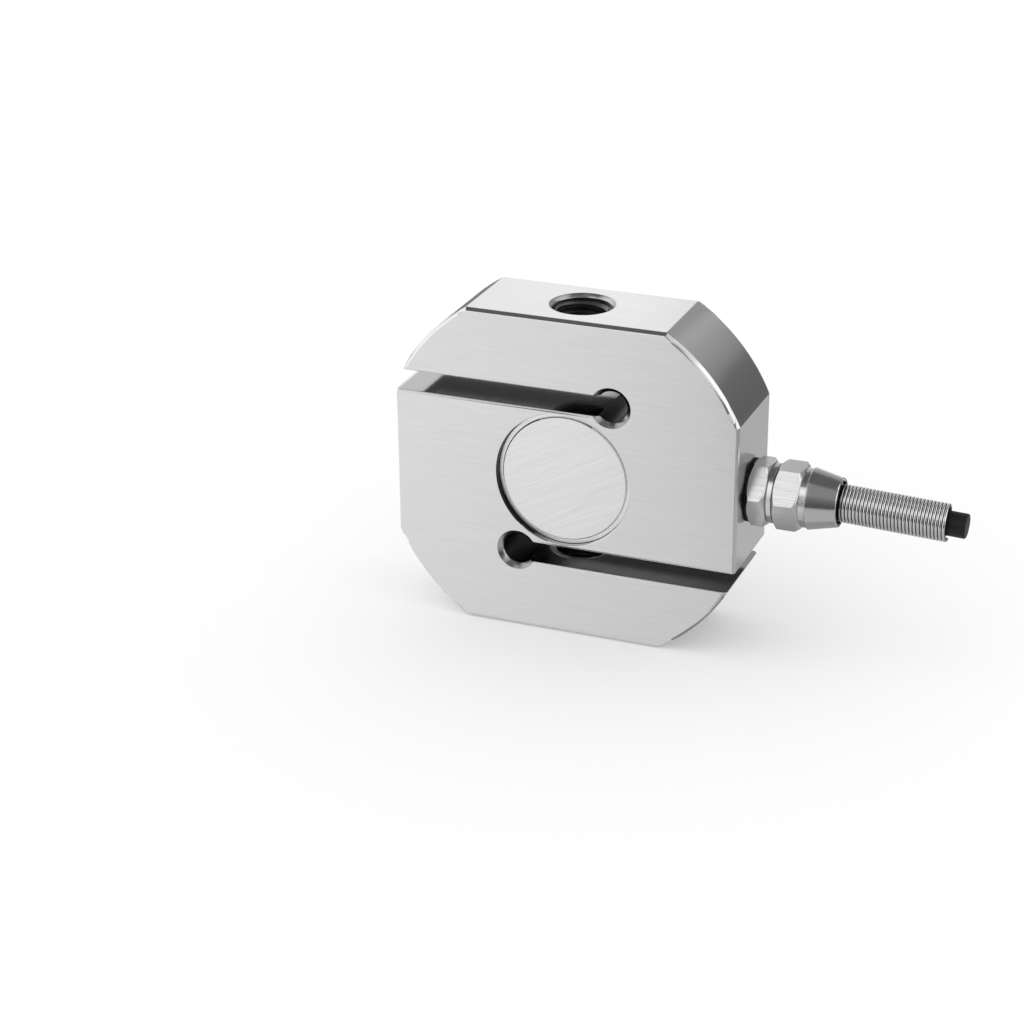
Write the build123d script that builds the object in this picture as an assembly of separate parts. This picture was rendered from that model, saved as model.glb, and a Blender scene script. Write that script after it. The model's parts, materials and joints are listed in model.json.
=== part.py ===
"""S-type load cell: a slotted stainless block with welded gauge pockets, a cable gland and a sprung cable.

Frame: origin in the middle of the base flat, on the load axis. +Z runs up the load axis, the front face with
its welded cover looks along -Y, and the cable leaves along +X. All sizes are in millimetres and degrees.
"""
from build123d import *
import math
import os

os.makedirs("parts", exist_ok=True)

# Driving sizes of the elastic block
BODY_DIAMETER = 80.0
BODY_WIDTH = 73.0
BODY_HEIGHT = 68.0
BODY_THICKNESS = 22.0
FACE_CHAMFER_WIDTH = 0.72
FACE_CHAMFER_DEPTH = 1.1
SLOT_HEIGHT = 4.3
SLOT_OFFSET = 17.0
SLOT_REACH = 10.0
SLOT_EDGE_BREAK = 0.3
SLOT_HOLE_DIAMETER = 6.5
SLOT_HOLE_SINK_DIAMETER = 8.6
THREAD_DIAMETER = 12.0
THREAD_SINK_DIAMETER = 13.4
THREAD_EXIT_BREAK = 0.3

# Driving sizes of the gauge pockets and their covers
RECESS_DIAMETER = 28.6
RECESS_DEPTH = 2.1
RECESS_EDGE_BREAK = 0.15
POCKET_DIAMETER = 24.0
WEB_THICKNESS = 4.0
COVER_THICKNESS = 1.2
COVER_LIP_THICKNESS = 0.8
COVER_FACE_DIAMETER = 26.7
COVER_FACE_BEVEL = 0.25
COVER_CLEARANCE = 0.1

# Driving sizes of the cable entry
ENTRY_HEIGHT = 33.35
ENTRY_BORE_DIAMETER = 8.0
ENTRY_BORE_ROOM = 2.0
ENTRY_SINK = 0.3
WIRE_HOLE_DIAMETER = 4.0
WIRE_HOLE_LEAD = 1.0
WEB_HOLE_DIAMETER = 1.8
WEB_HOLE_DROP = 7.6
THREAD_CLEARANCE = 0.05
THREAD_LEAD = 0.4

# Driving sizes of the gland, along the cable from the block's side
O_RING_THICKNESS = 0.45
O_RING_WIDTH = 1.2
O_RING_OUTER_DIAMETER = 13.0
HEX_ACROSS_FLATS = 12.5
HEX_SEAT_BREAK = 0.7
HEX_FRONT_BREAK = 0.95
HEX_FACE_SETBACK = 0.1
STUB_LENGTH = 7.0
BODY_HEX_LENGTH = 3.85
BODY_HEX_TURN = -5.0
COLLAR_DIAMETER = 12.2
COLLAR_LENGTH = 1.0
COLLAR_RELIEF = 0.2
COLLAR_RELIEF_DIAMETER = 11.2
NIPPLE_DIAMETER = 10.0
NIPPLE_LENGTH = 3.6
NUT_HEX_LENGTH = 5.3
NUT_HEX_TURN = -3.5
NECK_DIAMETER = 12.0
NECK_LENGTH = 1.3
CONE_BASE_DIAMETER = 12.6
CONE_BASE_BREAK = 0.15
CONE_LENGTH = 6.1
MOUTH_DEPTH = 2.1
MOUTH_WALL = 0.65
MOUTH_CLEARANCE = 0.45
MOUTH_LIP_RADIUS = 0.3
BUSH_DIAMETER = 8.4
BUSH_LENGTH = 5.0
BUSH_TAPER = 0.6
WASHER_THICKNESS = 0.8

# Driving sizes of the strain-relief spring and the cable
SPRING_DIAMETER = 7.7
SPRING_WIRE = 0.69
SPRING_PITCH = 0.717
SPRING_TURNS = 32
CABLE_DIAMETER = 5.0
CABLE_PROJECTION = 43.6
CABLE_DROOP = 2.4
CABLE_END_WALL = 0.8
CABLE_END_BREAK = 0.2
JACKET_WALL = 0.65
SHIELD_WALL = 0.3
CORE_DIAMETER = 1.1
CORE_PITCH = 1.24
CONDUCTOR_DIAMETER = 0.5
CABLE_CLEARANCE = 0.05
JACKET_STRIP = 4.5
SHIELD_STRIP = 0.3
POTTING_LENGTH = 1.8
POTTING_SETBACK = 0.2

# Driving sizes of the bridge parts in the pockets
GAUGE_WIDTH = 9.0
GAUGE_HEIGHT = 7.0
GAUGE_THICKNESS = 0.12
GAUGE_CORNER_RADIUS = 0.5
GAUGE_TAB_INSET = 0.4
GRID_THICKNESS = 0.05
GRID_LENGTH = 3.6
GRID_LINE = 0.22
GRID_LINES = 6
BOARD_WIDTH = 4.4
BOARD_HEIGHT = 9.4
BOARD_THICKNESS = 0.8
BOARD_CORNER_RADIUS = 0.4
BOARD_CENTRE = 7.9
RESISTOR_WIDTH = 0.8
RESISTOR_LENGTH = 1.6
RESISTOR_HEIGHT = 0.5
ZERO_TRIM_RISE = 2.2
SPAN_DROP = 0.6
PAD_DIAMETER = 1.1
PAD_HEIGHT = 0.3
CORE_PAD_OFFSET = 1.3
CORE_PAD_PITCH = 2.2
CORE_EXIT_ROOM = 0.4
LEAD_PAD_DIAMETER = 0.6
LEAD_DIAMETER = 0.2
LEAD_ARCH = 1.2
LEAD_BEND_RADIUS = 0.5
FRONT_LEAD_OFFSET = 1.5
FRONT_LEAD_PITCH = 1.4
REAR_LEAD_OFFSET = 0.4
REAR_LEAD_PITCH = 0.5
REAR_LEAD_DROP = 4.0

# Places worked out from the driving sizes
MID = BODY_HEIGHT / 2
FRONT = -BODY_THICKNESS / 2
SIDE = BODY_WIDTH / 2
WEB_FACE = WEB_THICKNESS / 2
SEAT = BODY_THICKNESS / 2 - RECESS_DEPTH
BOARD_TOP = WEB_FACE + BOARD_THICKNESS
PAD_TOP = BOARD_TOP + PAD_HEIGHT
ENTRY_AXIS = Axis((0, 0, ENTRY_HEIGHT), (1, 0, 0))
HEX_CORNER_RADIUS = HEX_ACROSS_FLATS / math.sqrt(3)
O_RING_STOP = SIDE + O_RING_THICKNESS
BODY_HEX_END = O_RING_STOP + BODY_HEX_LENGTH
COLLAR_START = BODY_HEX_END + COLLAR_RELIEF
COLLAR_STOP = COLLAR_START + COLLAR_LENGTH
COLLAR_END = COLLAR_STOP + COLLAR_RELIEF
NIPPLE_END = COLLAR_END + NIPPLE_LENGTH
NUT_HEX_END = COLLAR_END + NUT_HEX_LENGTH
NECK_END = NUT_HEX_END + NECK_LENGTH
MOUTH = NECK_END + CONE_LENGTH
MOUTH_RADIUS = SPRING_DIAMETER / 2 + MOUTH_CLEARANCE
TIP_RADIUS = MOUTH_RADIUS + MOUTH_WALL
SPRING_SEAT = MOUTH - MOUTH_DEPTH
BUSH_END = NIPPLE_END + CABLE_CLEARANCE
BUSH_START = BUSH_END - BUSH_LENGTH
WASHER_END = BUSH_END + WASHER_THICKNESS
STUB_END = SIDE - STUB_LENGTH
ENTRY_BORE_END = STUB_END - ENTRY_BORE_ROOM
WIRE_HOLE_START = ENTRY_BORE_END + WIRE_HOLE_LEAD
WIRE_HOLE_EXIT = (WEB_FACE + SEAT) / 2
WIRE_HOLE_SLANT = math.atan2(WIRE_HOLE_EXIT, WIRE_HOLE_START - POCKET_DIAMETER / 2)
CABLE_END = SIDE + CABLE_PROJECTION
BENDING_POINT = MOUTH
PASSAGE_RADIUS = CABLE_DIAMETER / 2 + 2 * CABLE_CLEARANCE
SHIELD_OUTER_RADIUS = CABLE_DIAMETER / 2 - JACKET_WALL - CABLE_CLEARANCE

# Places of the board's joints, of the chips and of the hole through the web, from the middle of the block
CORE_CORNERS = {"core_red": (-1, 1), "core_black": (1, 1), "core_green": (1, -1), "core_white": (-1, -1)}
CORE_PADS = {name: step * CORE_PAD_PITCH for name, step in zip(CORE_CORNERS, (1.5, 0.5, -0.5, -1.5))}
CORE_PAD_X = BOARD_CENTRE + CORE_PAD_OFFSET
FRONT_LEAD_X = BOARD_CENTRE - FRONT_LEAD_OFFSET
FRONT_LEAD_HEIGHTS = (FRONT_LEAD_PITCH, 0.0, -FRONT_LEAD_PITCH)
REAR_LEAD_CENTRE = BOARD_CENTRE - REAR_LEAD_OFFSET
REAR_LEAD_PLACES = [REAR_LEAD_CENTRE + step * REAR_LEAD_PITCH for step in (-1, 0, 1)]
WEB_HOLE = (REAR_LEAD_CENTRE, 0, MID - WEB_HOLE_DROP)
RESISTOR_HEIGHTS = {"zero_trim_resistor": ZERO_TRIM_RISE, "span_resistor": -SPAN_DROP}


def entry_plane(x):
    """A plane square to the cable's straight part, at x along the cable."""
    return Plane(origin=(x, 0, ENTRY_HEIGHT), x_dir=(0, 1, 0), z_dir=(1, 0, 0))


def rod(radius, start, end):
    """A round bar on the cable's axis from start to end along X."""
    return extrude(entry_plane(start) * Circle(radius), end - start)


def turned(points):
    """A piece turned about the cable's axis from (place along X, radius) points."""
    corners = [(x, ENTRY_HEIGHT + radius) for x, radius in points]
    profile = Plane.XZ * make_face(Polyline(*corners, close=True))
    return revolve(profile, ENTRY_AXIS)


def across(radius, start, end):
    """A round bar on the block's centre line from start to end along Y."""
    plane = Plane(origin=(0, start, MID), x_dir=(1, 0, 0), z_dir=(0, 1, 0))
    return extrude(plane * Circle(radius), end - start)


def mirrored_to_back(shape):
    """The same shape turned half a turn about the load axis, onto the block's back."""
    return Rot(0, 0, 180) * shape


def slot_cut():
    """The upper slot with its broken edges and its countersunk end hole."""
    half_depth = BODY_THICKNESS / 2
    half_gap = SLOT_HEIGHT / 2
    margin = SLOT_HEIGHT
    outside = half_depth + margin
    flare = half_gap + SLOT_EDGE_BREAK + margin
    corner = half_depth - SLOT_EDGE_BREAK
    upper = [(-outside, flare), (-corner, half_gap), (corner, half_gap), (outside, flare)]
    lower = [(y, -z) for y, z in reversed(upper)]
    start = -SIDE - margin
    plane = Plane(origin=(start, 0, MID + SLOT_OFFSET), x_dir=(0, 1, 0), z_dir=(1, 0, 0))
    gap = extrude(plane * make_face(Polyline(*upper, *lower, close=True)), SLOT_REACH - start)
    hole_radius = SLOT_HOLE_DIAMETER / 2
    sink_radius = SLOT_HOLE_SINK_DIAMETER / 2
    sink_depth = sink_radius - hole_radius
    centre = Pos(SLOT_REACH, 0, MID + SLOT_OFFSET)
    hole = Rot(90, 0, 0) * Cylinder(hole_radius, BODY_THICKNESS + margin)
    sink = Cone(hole_radius, sink_radius, sink_depth, align=(Align.CENTER, Align.CENTER, Align.MAX))
    front_sink = Pos(0, FRONT, 0) * Rot(90, 0, 0) * sink
    back_sink = Pos(0, -FRONT, 0) * Rot(-90, 0, 0) * sink
    return gap + centre * hole + centre * front_sink + centre * back_sink


def thread_cut():
    """The upper tapped hole, at the thread's major diameter, countersunk and open into the slot."""
    radius = THREAD_DIAMETER / 2
    sink_radius = THREAD_SINK_DIAMETER / 2
    slot_roof = MID + SLOT_OFFSET + SLOT_HEIGHT / 2
    low = MID + SLOT_OFFSET
    hole = extrude(Plane(origin=(0, 0, low)) * Circle(radius), BODY_HEIGHT - low)
    sink_depth = sink_radius - radius
    sink = Cone(radius, sink_radius, sink_depth, align=(Align.CENTER, Align.CENTER, Align.MAX))
    mouth = Pos(0, 0, BODY_HEIGHT) * sink
    wide = radius + THREAD_EXIT_BREAK
    relief = Cone(wide, radius, THREAD_EXIT_BREAK, align=(Align.CENTER, Align.CENTER, Align.MIN))
    return hole + mouth + Pos(0, 0, slot_roof) * relief


def pocket_cut():
    """The front recess, its broken edge and the gauge pocket behind the cover."""
    recess_radius = RECESS_DIAMETER / 2
    recess = across(recess_radius, FRONT, -SEAT)
    pocket = across(POCKET_DIAMETER / 2, FRONT, -WEB_FACE)
    broken = Cone(
        recess_radius,
        recess_radius + RECESS_EDGE_BREAK,
        RECESS_EDGE_BREAK,
        align=(Align.CENTER, Align.CENTER, Align.MAX),
    )
    edge = Pos(0, FRONT, MID) * Rot(90, 0, 0) * broken
    return recess + pocket + edge


def entry_cut():
    """The tapped bore for the gland, its broken mouth, and the slanted hole on to the front pocket."""
    radius = ENTRY_BORE_DIAMETER / 2
    bore = rod(radius, ENTRY_BORE_END, SIDE)
    inner = SIDE - ENTRY_SINK
    mouth = turned([(inner, 0), (inner, radius), (SIDE, radius + ENTRY_SINK), (SIDE, 0)])
    along = (-math.cos(WIRE_HOLE_SLANT), -math.sin(WIRE_HOLE_SLANT), 0)
    start = Plane(origin=(WIRE_HOLE_START, 0, ENTRY_HEIGHT), x_dir=(0, 0, 1), z_dir=along)
    wire_hole_radius = WIRE_HOLE_DIAMETER / 2
    reach = (WIRE_HOLE_START - POCKET_DIAMETER / 2) / math.cos(WIRE_HOLE_SLANT) + wire_hole_radius
    wire_hole = extrude(start * Circle(wire_hole_radius), reach)
    return bore + mouth + wire_hole


def elastic_body():
    """The block: a disc cut flat on four sides, slotted from both ends, tapped, recessed and bored."""
    disc = Pos(0, 0, MID) * Rot(90, 0, 0) * Cylinder(BODY_DIAMETER / 2, BODY_THICKNESS)
    block = disc & Pos(0, 0, MID) * Box(BODY_WIDTH, BODY_THICKNESS, BODY_HEIGHT)
    for end in (0, -1):
        face = block.faces().sort_by(Axis.Y)[end]
        block = chamfer(face.edges(), FACE_CHAMFER_WIDTH, FACE_CHAMFER_DEPTH, reference=face)
    upper_cut = slot_cut() + thread_cut()
    lower_cut = Pos(0, 0, BODY_HEIGHT) * Rot(0, 180, 0) * upper_cut
    block -= upper_cut
    block -= lower_cut
    block -= pocket_cut()
    block -= mirrored_to_back(pocket_cut())
    block -= entry_cut()
    web_hole = Rot(90, 0, 0) * Cylinder(WEB_HOLE_DIAMETER / 2, WEB_THICKNESS + WEB_HOLE_DIAMETER)
    block -= Pos(*WEB_HOLE) * web_hole
    return block


def front_cover():
    """The cover disc: a raised bevelled face inside a thinner lip that is welded to the recess."""
    lip_radius = RECESS_DIAMETER / 2 - COVER_CLEARANCE
    face_radius = COVER_FACE_DIAMETER / 2
    lip = across(lip_radius, -SEAT - COVER_LIP_THICKNESS, -SEAT)
    raised = across(face_radius, -SEAT - COVER_THICKNESS, -SEAT)
    edge = raised.edges().group_by(Axis.Y)[0]
    return chamfer(edge, COVER_FACE_BEVEL) + lip


def gauge():
    """The front foil gauge: a carrier with two grids at 45 degrees either way, for shear in the web."""
    carrier_face = Plane(origin=(0, -WEB_FACE, MID), x_dir=(1, 0, 0), z_dir=(0, -1, 0))
    outline = RectangleRounded(GAUGE_WIDTH, GAUGE_HEIGHT, GAUGE_CORNER_RADIUS)
    carrier = extrude(carrier_face * outline, GAUGE_THICKNESS)
    grid_face = carrier_face.offset(GAUGE_THICKNESS)
    lines = Sketch()
    step = 2 * GRID_LINE
    for side in (-1, 1):
        for index in range(GRID_LINES):
            shift = (index - (GRID_LINES - 1) / 2) * step
            line = Pos(0, shift) * Rectangle(GRID_LENGTH, GRID_LINE)
            lines += Pos(side * GAUGE_WIDTH / 4, 0) * Rot(0, 0, side * 45) * line
    return carrier + extrude(grid_face * lines, GRID_THICKNESS)


def terminal_board():
    """The bridge board, glued on the web beside the front gauge."""
    face = Plane(origin=(BOARD_CENTRE, -WEB_FACE, MID), x_dir=(1, 0, 0), z_dir=(0, -1, 0))
    outline = RectangleRounded(BOARD_WIDTH, BOARD_HEIGHT, BOARD_CORNER_RADIUS)
    return extrude(face * outline, BOARD_THICKNESS)


def solder_joint(x, z, diameter):
    """A solder joint with a flat crown, on the board at x and z above the middle."""
    base = Pos(x, -BOARD_TOP, MID + z) * Rot(90, 0, 0)
    return base * Cone(diameter / 2, diameter / 3, PAD_HEIGHT, align=(Align.CENTER, Align.CENTER, Align.MIN))


def resistor(z):
    """A chip resistor on the board, z above the middle."""
    chip = Box(RESISTOR_WIDTH, RESISTOR_HEIGHT, RESISTOR_LENGTH)
    chip = chamfer(chip.edges(), RESISTOR_HEIGHT / 10)
    return Pos(BOARD_CENTRE, -BOARD_TOP - RESISTOR_HEIGHT / 2, MID + z) * chip


def wire(points, diameter, radius):
    """A round wire along straight runs joined by arcs of one radius."""
    path = FilletPolyline(*points, radius=radius)
    start = Plane(origin=path @ 0, z_dir=path % 0)
    return sweep(start * Circle(diameter / 2), path=path)


def front_lead(height):
    """One fine wire that arches from the front gauge to the board."""
    tab_x = GAUGE_WIDTH / 2 - GAUGE_TAB_INSET
    crest = -PAD_TOP - LEAD_ARCH
    points = [
        (tab_x, -WEB_FACE - GAUGE_THICKNESS, MID + height),
        (tab_x, crest, MID + height),
        (FRONT_LEAD_X, crest, MID + height),
        (FRONT_LEAD_X, -PAD_TOP, MID + height),
    ]
    return wire(points, LEAD_DIAMETER, LEAD_BEND_RADIUS)


def rear_lead(index):
    """One fine wire from the rear gauge, through the hole in the web, to the board."""
    tab_x = GAUGE_WIDTH / 2 - GAUGE_TAB_INSET
    tab_z = MID + FRONT_LEAD_HEIGHTS[index]
    x = REAR_LEAD_PLACES[index]
    back = WEB_FACE + GAUGE_THICKNESS + LEAD_ARCH
    crest = -PAD_TOP - LEAD_ARCH
    points = [
        (tab_x, WEB_FACE + GAUGE_THICKNESS, tab_z),
        (tab_x, back, tab_z),
        (x, back, WEB_HOLE[2]),
        (x, crest, WEB_HOLE[2]),
        (x, crest, MID - REAR_LEAD_DROP),
        (x, -PAD_TOP, MID - REAR_LEAD_DROP),
    ]
    return wire(points, LEAD_DIAMETER, LEAD_BEND_RADIUS)


def cable_route(start, end, dy=0.0, dz=0.0):
    """Points of the cable's line from start to end along X, drooping beyond the gland, moved by dy and dz."""
    droop = math.radians(CABLE_DROOP)
    height = ENTRY_HEIGHT + dz
    drop = (end - BENDING_POINT) * math.tan(droop)
    return [(start, dy, height), (BENDING_POINT, dy, height), (end, dy, height - drop)]


def bend_radius(start, end):
    """The largest arc that the cable's two runs leave room for."""
    run = min(BENDING_POINT - start, end - BENDING_POINT)
    share = 0.45
    return share * run / math.tan(math.radians(CABLE_DROOP / 2))


def cable_tube(outer, inner, start, end):
    """A tube, or a bar where inner is none, that follows the cable's line."""
    path = FilletPolyline(*cable_route(start, end), radius=bend_radius(STUB_END, CABLE_END))
    section = entry_plane(start) * Circle(outer)
    if inner is not None:
        section -= entry_plane(start) * Circle(inner)
    return sweep(section, path=path)


def cable_jacket():
    """The cable's black jacket, closed and lightly rounded at its free end."""
    outer = CABLE_DIAMETER / 2
    inner = outer - JACKET_WALL
    start = SIDE - JACKET_STRIP
    whole = cable_tube(outer, None, start, CABLE_END)
    tip = whole.edges().group_by(Axis.X)[-1]
    whole = chamfer(tip, CABLE_END_BREAK)
    return whole - cable_tube(inner, None, start - CABLE_CLEARANCE, CABLE_END - CABLE_END_WALL)


def cable_shield():
    """The braid under the jacket, as a plain tube."""
    outer = SHIELD_OUTER_RADIUS
    inner = outer - SHIELD_WALL
    start = SIDE - JACKET_STRIP - SHIELD_STRIP
    return cable_tube(outer, inner, start, CABLE_END - CABLE_END_WALL - CABLE_CLEARANCE)


def core_points(name, end):
    """The line of one core from its solder joint, through the slanted hole and along the cable to end."""
    side, level = CORE_CORNERS[name]
    dy = side * CORE_PITCH / 2
    dz = level * CORE_PITCH / 2
    exit_x = POCKET_DIAMETER / 2 + CORE_EXIT_ROOM
    exit_y = dy - (WIRE_HOLE_START - exit_x) * math.tan(WIRE_HOLE_SLANT)
    pad_z = MID + CORE_PADS[name]
    return [
        (CORE_PAD_X, -PAD_TOP, pad_z),
        (CORE_PAD_X, exit_y - CORE_EXIT_ROOM, pad_z),
        (exit_x, exit_y, ENTRY_HEIGHT + dz),
        (WIRE_HOLE_START, dy, ENTRY_HEIGHT + dz),
        *cable_route(STUB_END, end, dy, dz)[1:],
    ]


def core_parts(name):
    """One core's insulation and its copper conductor, as two solids."""
    end = CABLE_END - CABLE_END_WALL - CABLE_CLEARANCE
    points = core_points(name, end)
    turn = bend_radius(STUB_END, CABLE_END)
    radii = [CORE_DIAMETER, CORE_DIAMETER, 3 * CORE_DIAMETER, turn]
    path = FilletPolyline(*points, radius=radii)
    start = Plane(origin=path @ 0, z_dir=path % 0)
    conductor = sweep(start * Circle(CONDUCTOR_DIAMETER / 2), path=path)
    covered = [(points[0][0], points[0][1] - CORE_DIAMETER / 2, points[0][2]), *points[1:]]
    covered_path = FilletPolyline(*covered, radius=radii)
    ring_plane = Plane(origin=covered_path @ 0, z_dir=covered_path % 0)
    ring = ring_plane * Circle(CORE_DIAMETER / 2) - ring_plane * Circle(CONDUCTOR_DIAMETER / 2)
    return sweep(ring, path=covered_path), conductor


def entry_potting():
    """The cast plug in the gland's inner end, with a hole for each core."""
    start = STUB_END + POTTING_SETBACK
    end = start + POTTING_LENGTH
    plug = rod(PASSAGE_RADIUS - CABLE_CLEARANCE, start, end)
    hole = rod(CORE_DIAMETER / 2 + CABLE_CLEARANCE / 2, start, end)
    for side, level in CORE_CORNERS.values():
        plug -= Pos(0, side * CORE_PITCH / 2, level * CORE_PITCH / 2) * hole
    return plug


def hexagon(start, end, turn):
    """A hexagon bar on the cable's axis with its corners turned off at both ends."""
    bar = extrude(entry_plane(start) * Rot(0, 0, turn) * RegularPolygon(HEX_CORNER_RADIUS, 6), end - start)
    face = HEX_ACROSS_FLATS / 2 - HEX_FACE_SETBACK
    corner = HEX_CORNER_RADIUS + HEX_FACE_SETBACK
    outline = [
        (start, 0),
        (start, face),
        (start + HEX_SEAT_BREAK, corner),
        (end - HEX_FRONT_BREAK, corner),
        (end, face),
        (end, 0),
    ]
    return bar & turned(outline)


def gland_body():
    """The gland's fixed half: threaded stub, hexagon, relieved collar and the nipple under the nut."""
    stub = ENTRY_BORE_DIAMETER / 2 - THREAD_CLEARANCE
    relief = COLLAR_RELIEF_DIAMETER / 2
    collar = COLLAR_DIAMETER / 2
    nipple = NIPPLE_DIAMETER / 2
    profile = [
        (STUB_END, 0),
        (STUB_END, stub - THREAD_LEAD),
        (STUB_END + THREAD_LEAD, stub),
        (O_RING_STOP, stub),
        (O_RING_STOP, relief),
        (COLLAR_START, relief),
        (COLLAR_START, collar),
        (COLLAR_STOP, collar),
        (COLLAR_STOP, relief),
        (COLLAR_END, relief),
        (COLLAR_END, nipple),
        (NIPPLE_END - THREAD_LEAD, nipple),
        (NIPPLE_END, nipple - THREAD_LEAD),
        (NIPPLE_END, 0),
    ]
    solid = turned(profile) + hexagon(O_RING_STOP, BODY_HEX_END, BODY_HEX_TURN)
    solid -= rod(PASSAGE_RADIUS, STUB_END, NIPPLE_END)
    return solid - rod(BUSH_DIAMETER / 2 + CABLE_CLEARANCE, BUSH_START, NIPPLE_END)


def gland_nut():
    """The nut: hexagon, neck and cone, with a rounded mouth for the spring."""
    neck = NECK_DIAMETER / 2
    base = CONE_BASE_DIAMETER / 2
    profile = [
        (COLLAR_END, 0),
        (COLLAR_END, neck),
        (NECK_END, neck),
        (NECK_END, base - CONE_BASE_BREAK),
        (NECK_END + CONE_BASE_BREAK, base),
        (MOUTH, TIP_RADIUS),
        (MOUTH, 0),
    ]
    solid = turned(profile)
    rim = solid.edges().filter_by(GeomType.CIRCLE).group_by(Axis.X)[-1]
    solid = fillet(rim, MOUTH_LIP_RADIUS)
    solid += hexagon(COLLAR_END, NUT_HEX_END, NUT_HEX_TURN)
    solid -= rod(NIPPLE_DIAMETER / 2 + THREAD_CLEARANCE, COLLAR_END, WASHER_END)
    solid -= rod(PASSAGE_RADIUS + CABLE_CLEARANCE, COLLAR_END, MOUTH)
    solid -= rod(MOUTH_RADIUS, SPRING_SEAT, MOUTH)
    lip_bore = solid.edges().filter_by(GeomType.CIRCLE).group_by(Axis.X)[-1]
    return fillet(lip_bore.sort_by(SortBy.RADIUS)[0], MOUTH_LIP_RADIUS / 2)


def gland_o_ring():
    """The O-ring that seals the gland's hexagon against the block, squeezed flat between them."""
    x = SIDE + O_RING_THICKNESS / 2
    z = ENTRY_HEIGHT + (O_RING_OUTER_DIAMETER - O_RING_WIDTH) / 2
    section = Plane.XZ * Pos(x, z) * SlotOverall(O_RING_WIDTH, O_RING_THICKNESS, rotation=90)
    return revolve(section, ENTRY_AXIS)


def seal_bush():
    """The rubber bush round the cable, tapered at its inner end."""
    outer = BUSH_DIAMETER / 2
    inner = CABLE_DIAMETER / 2 + CABLE_CLEARANCE / 2
    profile = [
        (BUSH_START, inner),
        (BUSH_START, outer - BUSH_TAPER),
        (BUSH_START + BUSH_TAPER, outer),
        (BUSH_END, outer),
        (BUSH_END, inner),
    ]
    return turned(profile)


def clamp_washer():
    """The thrust washer between the bush and the nut's shoulder."""
    outer = NIPPLE_DIAMETER / 2 - THREAD_CLEARANCE
    inner = PASSAGE_RADIUS
    return rod(outer, BUSH_END, WASHER_END) - rod(inner, BUSH_END, WASHER_END)


def relief_spring():
    """The close-wound spring, seated in the nut's mouth and tilted down with the cable."""
    wire_radius = SPRING_WIRE / 2
    line_radius = SPRING_DIAMETER / 2 - wire_radius
    height = SPRING_PITCH * SPRING_TURNS
    helix = Helix(SPRING_PITCH, height, line_radius)
    section = Plane(origin=helix @ 0, z_dir=helix % 0) * Circle(wire_radius)
    coil = sweep(section, path=helix, is_frenet=True)
    tilt = CABLE_DROOP
    back = MOUTH_DEPTH - wire_radius - line_radius * math.sin(math.radians(tilt)) - CABLE_CLEARANCE
    pivot = Pos(BENDING_POINT, 0, ENTRY_HEIGHT) * Rot(0, 90 + tilt, 0)
    return pivot * Pos(0, 0, -back) * coil


def write(name, *solids):
    """Writes one named piece, or a group of separate solids, to its own file."""
    shape = solids[0] if len(solids) == 1 else Compound(children=list(solids))
    export_step(shape, os.path.join("parts", name + ".step"))


write("elastic_body", elastic_body())
write("front_cover", front_cover())
write("rear_cover", mirrored_to_back(front_cover()))
write("front_gauge", gauge())
write("rear_gauge", mirrored_to_back(gauge()))
write("terminal_board", terminal_board())

joints = [solder_joint(CORE_PAD_X, z, PAD_DIAMETER) for z in CORE_PADS.values()]
joints += [solder_joint(FRONT_LEAD_X, z, LEAD_PAD_DIAMETER) for z in FRONT_LEAD_HEIGHTS]
joints += [solder_joint(x, -REAR_LEAD_DROP, REAR_LEAD_PITCH - CABLE_CLEARANCE) for x in REAR_LEAD_PLACES]
write("solder_terminals", *joints)

for name, height in RESISTOR_HEIGHTS.items():
    write(name, resistor(height))

write("front_gauge_leads", *[front_lead(height) for height in FRONT_LEAD_HEIGHTS])
write("rear_gauge_leads", *[rear_lead(index) for index in range(3)])

conductors = []
for name in CORE_PADS:
    insulation, conductor = core_parts(name)
    write(name, insulation)
    conductors.append(conductor)
write("core_conductors", *conductors)

write("cable_shield", cable_shield())
write("cable_jacket", cable_jacket())
write("entry_potting", entry_potting())
write("gland_o_ring", gland_o_ring())
write("gland_body", gland_body())
write("seal_bush", seal_bush())
write("clamp_washer", clamp_washer())
write("gland_nut", gland_nut())
write("relief_spring", relief_spring())

print("cable bend radius", round(bend_radius(STUB_END, CABLE_END), 1))
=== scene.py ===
import json
import logging
import math
from collections.abc import Callable, Iterator
from contextlib import contextmanager
from dataclasses import dataclass, field
from enum import Enum

import bpy
from mathutils import Euler, Matrix, Vector

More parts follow.
